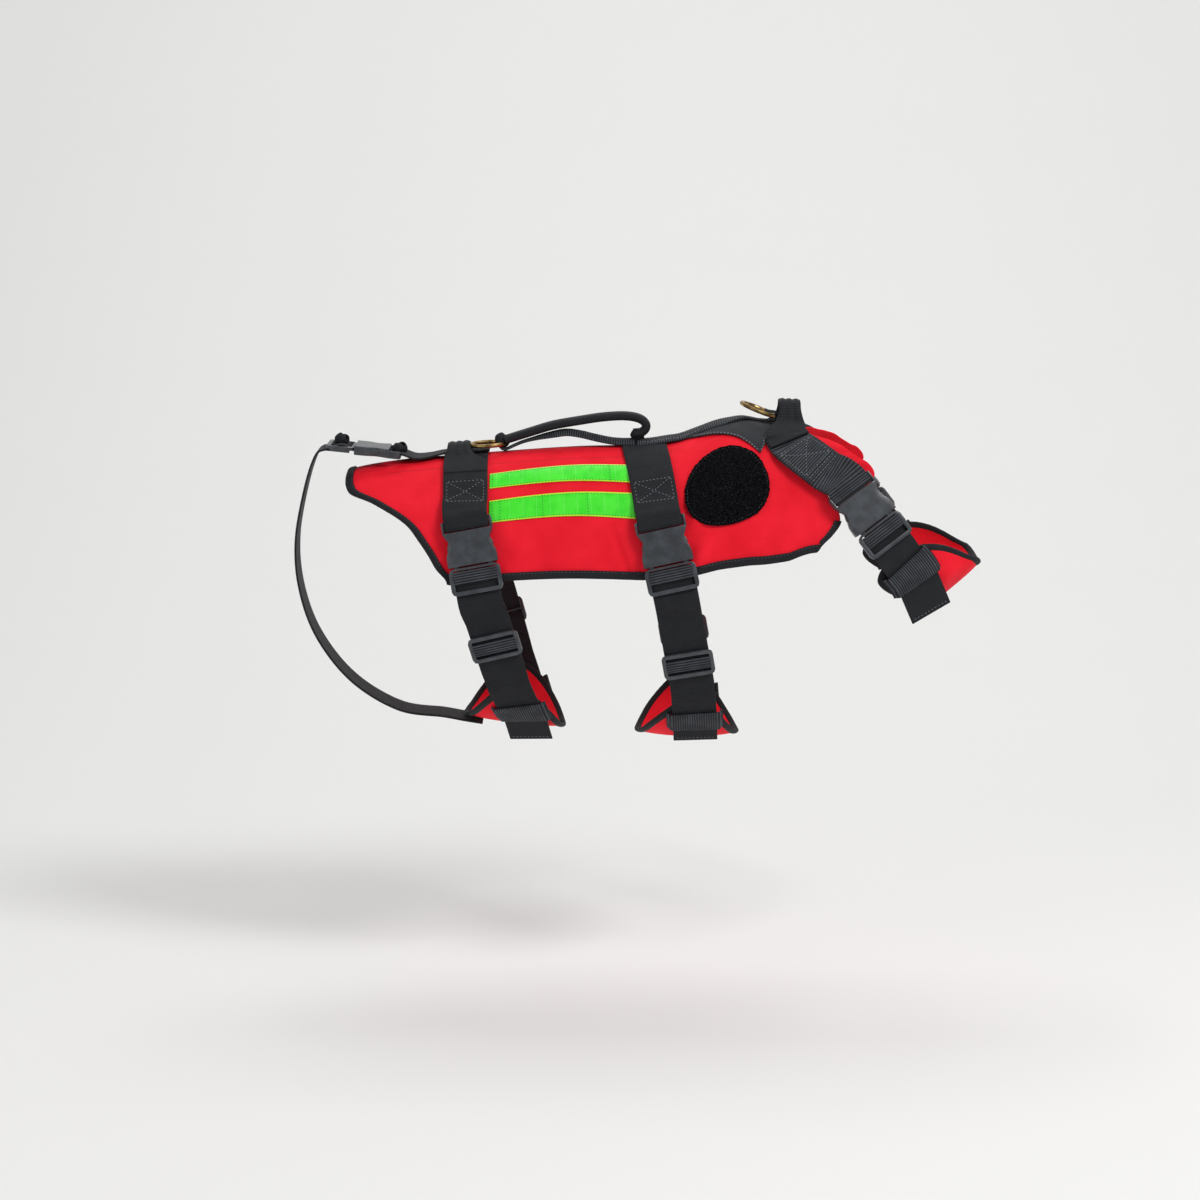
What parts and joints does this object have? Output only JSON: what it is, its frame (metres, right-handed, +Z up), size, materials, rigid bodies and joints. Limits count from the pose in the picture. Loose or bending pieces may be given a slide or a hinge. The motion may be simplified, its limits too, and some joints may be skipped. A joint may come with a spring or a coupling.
{
  "type": "dog rescue harness",
  "caption": "Worn and hollow saddle harness with girth, chest and hip straps, padded belly and chest plates, side-release buckles, a lift handle and leash rings.",
  "frame": {"origin": "on the ridge of the back, under the saddle, where it rests on the wearer", "axes": "+X towards the wearer's head, -Y the wearer's right side, which is the near side in the picture, +Z up"},
  "size_m": [0.7055, 0.2256, 0.3509],
  "materials": {
    "red_nylon": "woven red nylon, double layer",
    "black_binding": "folded black grosgrain tape",
    "black_webbing": "ribbed black nylon webbing",
    "black_yoke": "dark twill cloth",
    "lime_tape": "lime reflective tape, sewn on",
    "loop_pile": "black loop pile of a hook and loop patch",
    "acetal": "moulded black acetal, satin",
    "antique_brass": "antique brass wire"
  },
  "bodies": {
    "harness": {"back_panel": "red_nylon", "chest_buckle_plug_left": "acetal", "chest_buckle_plug_right": "acetal", "chest_buckle_socket_left": "acetal", "chest_buckle_socket_right": "acetal", "chest_keeper_left": "black_webbing", "chest_keeper_right": "black_webbing", "chest_pad": "red_nylon", "chest_pad_binding": "black_binding", "chest_strap_lower_left": "black_webbing", "chest_strap_lower_right": "black_webbing", "chest_strap_upper": "black_webbing", "front_buckle_plug_left": "acetal", "front_buckle_plug_right": "acetal", "front_buckle_socket_left": "acetal", "front_buckle_socket_right": "acetal", "front_keeper_left": "black_webbing", "front_keeper_right": "black_webbing", "front_pad": "red_nylon", "front_pad_binding": "black_binding", "front_ring_loop": "black_webbing", "front_strap_lower_left": "black_webbing", "front_strap_lower_right": "black_webbing", "front_triglide_left": "acetal", "front_triglide_right": "acetal", "girth_strap_front": "black_webbing", "girth_strap_rear": "black_webbing", "handle_base": "black_webbing", "handle_grip": "black_webbing", "hip_buckle_plug": "acetal", "hip_buckle_socket": "acetal", "hip_strap": "black_webbing", "lime_strip_lower_left": "lime_tape", "lime_strip_lower_right": "lime_tape", "lime_strip_upper_left": "lime_tape", "lime_strip_upper_right": "lime_tape", "neck_panel_left": "red_nylon", "neck_panel_right": "red_nylon", "panel_binding": "black_binding", "rear_buckle_plug_left": "acetal", "rear_buckle_plug_right": "acetal", "rear_buckle_socket_left": "acetal", "rear_buckle_socket_right": "acetal", "rear_keeper_left": "black_webbing", "rear_keeper_right": "black_webbing", "rear_pad": "red_nylon", "rear_pad_binding": "black_binding", "rear_ring": "antique_brass", "rear_ring_loop": "black_webbing", "rear_strap_lower_left": "black_webbing", "rear_strap_lower_right": "black_webbing", "rear_triglide_left": "acetal", "rear_triglide_right": "acetal", "round_patch_left": "loop_pile", "round_patch_right": "loop_pile", "spine_strap_front": "black_webbing", "spine_strap_rear": "black_webbing", "withers_yoke": "black_yoke"},
    "front_ring": {"front_ring": "antique_brass"}
  },
  "joints": [
    {"name": "front_ring_hinge", "type": "hinge", "parent": "harness", "child": "front_ring", "pos_m": [0.178, 0, 0.036], "axis": [0, 1, 0], "range_deg": [0, 60]}
  ]
}
